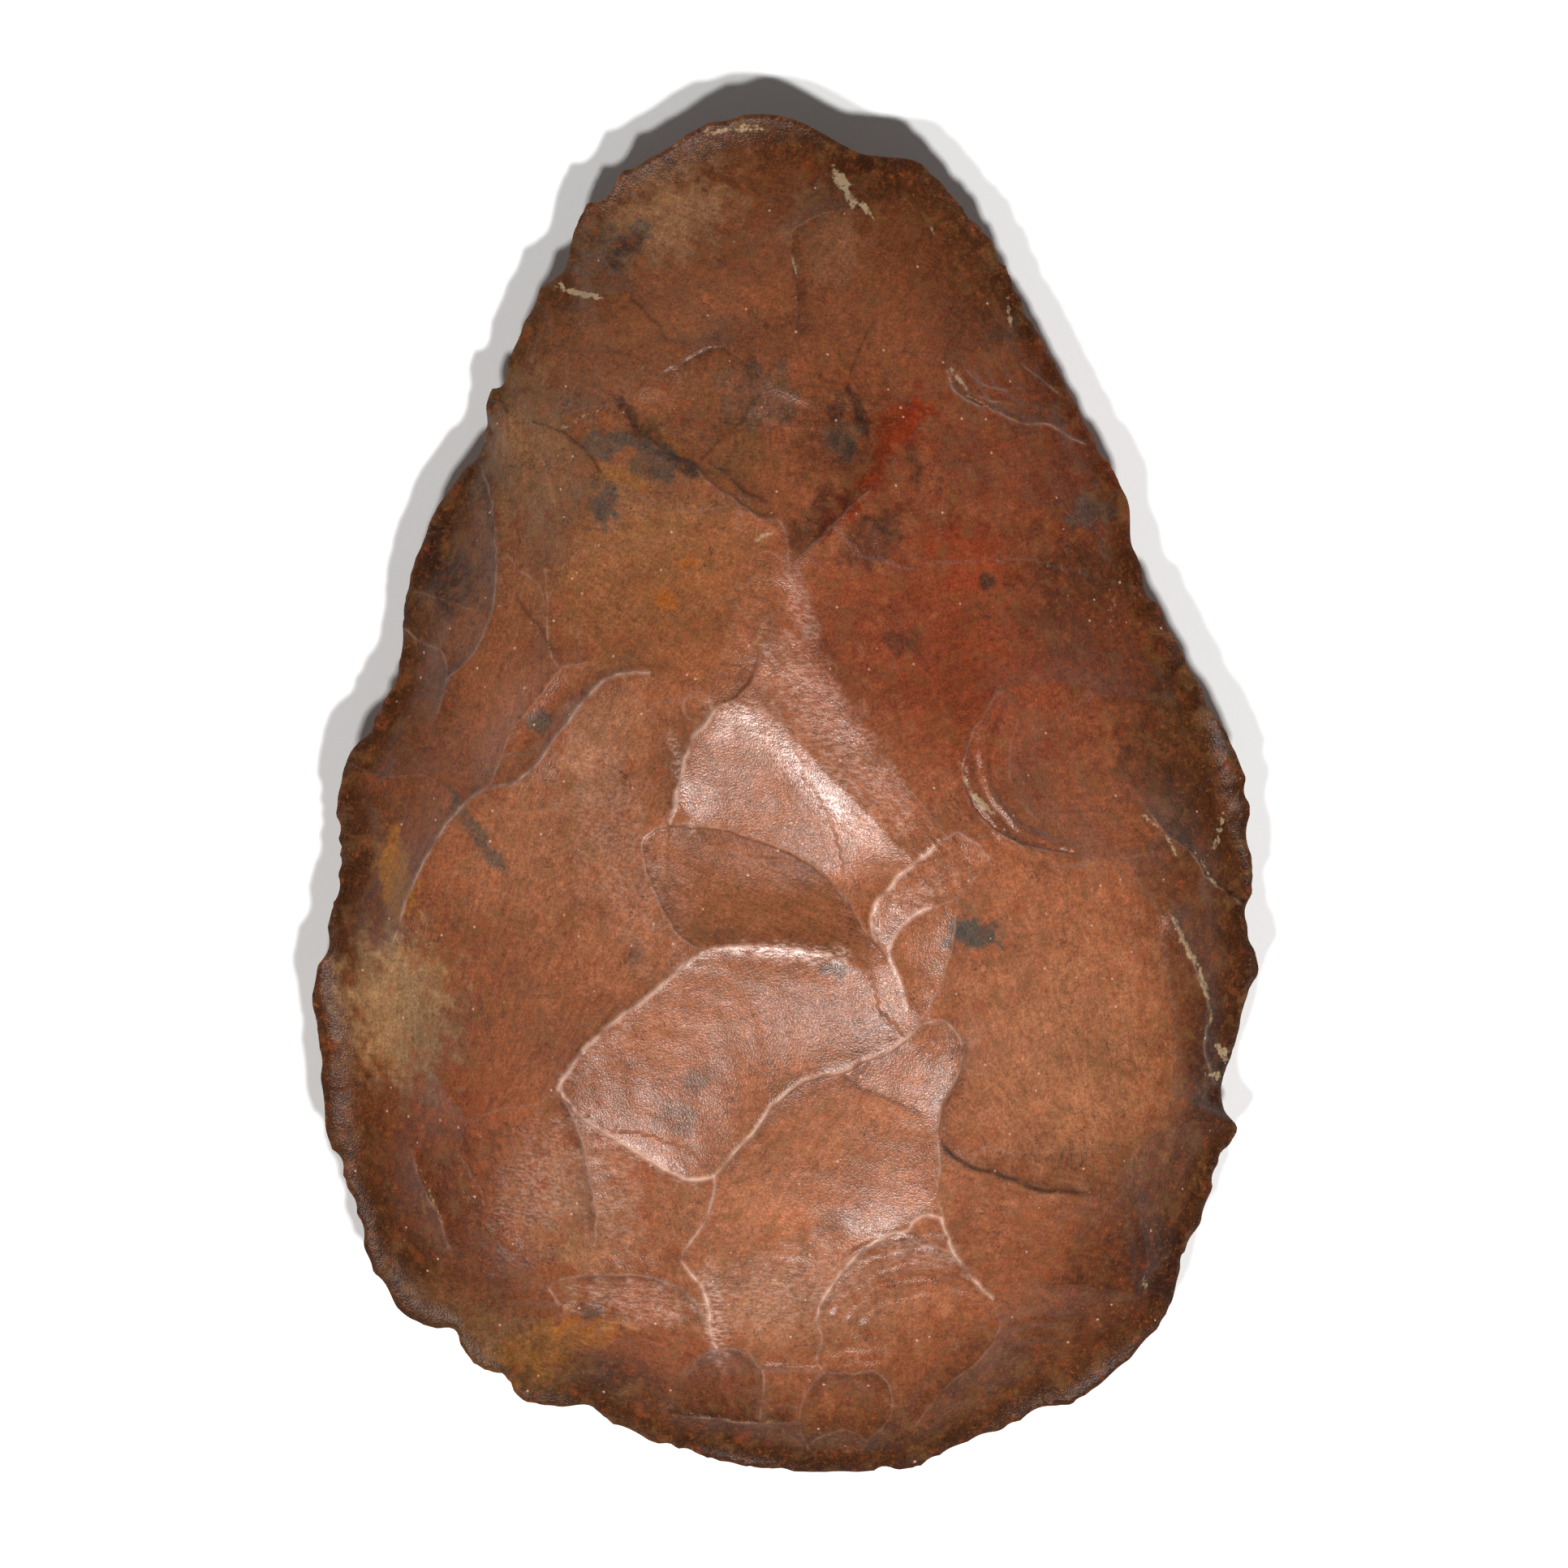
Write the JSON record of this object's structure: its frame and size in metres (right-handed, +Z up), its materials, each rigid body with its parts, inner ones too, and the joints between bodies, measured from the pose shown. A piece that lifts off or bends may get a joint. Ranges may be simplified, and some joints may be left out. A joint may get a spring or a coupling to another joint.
{
  "type": "stone hand axe",
  "caption": "Pear-shaped knapped flint hand axe with flake scars on both faces, a sinuous sharp edge all round, a narrow tip and a broad rounded butt.",
  "frame": {"origin": "middle of the outline in plan, at the level of the resting flat under the stone", "axes": "+Y towards the tip along the length, +X across the width, +Z up out of the seen face"},
  "size_m": [0.1044, 0.15, 0.0406],
  "materials": {
    "flint": "satin, worn reddish-brown patina"
  },
  "bodies": {
    "root": {"hand_axe": "flint"}
  },
  "joints": []
}
